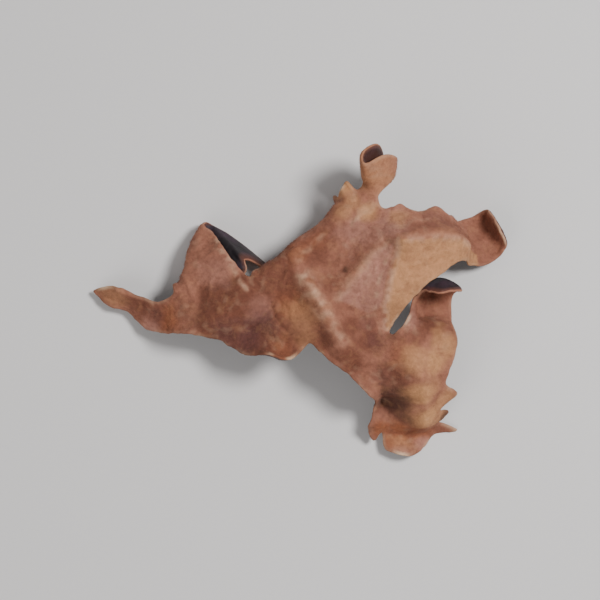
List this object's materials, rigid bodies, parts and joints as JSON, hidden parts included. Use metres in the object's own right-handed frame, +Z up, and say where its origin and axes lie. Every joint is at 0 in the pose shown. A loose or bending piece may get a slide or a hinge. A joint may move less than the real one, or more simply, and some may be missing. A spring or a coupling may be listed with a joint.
{
  "type": "dried wood ear mushroom",
  "caption": "Crumpled leathery sheet of dried wood ear fungus with a felted tan back, a black-brown face, rolled tips and a ruffled margin, lying back up on its margins.",
  "frame": {"origin": "centre of the piece's bounding box, at the surface it rests on", "axes": "+X to the right and +Y up the piece as pictured, +Z up, out of its felted back"},
  "size_m": [0.0904, 0.0666, 0.0229],
  "materials": {
    "dried_fungus": "matt felted back, satin dark face"
  },
  "bodies": {
    "root": {"wood_ear": "dried_fungus"}
  },
  "joints": []
}
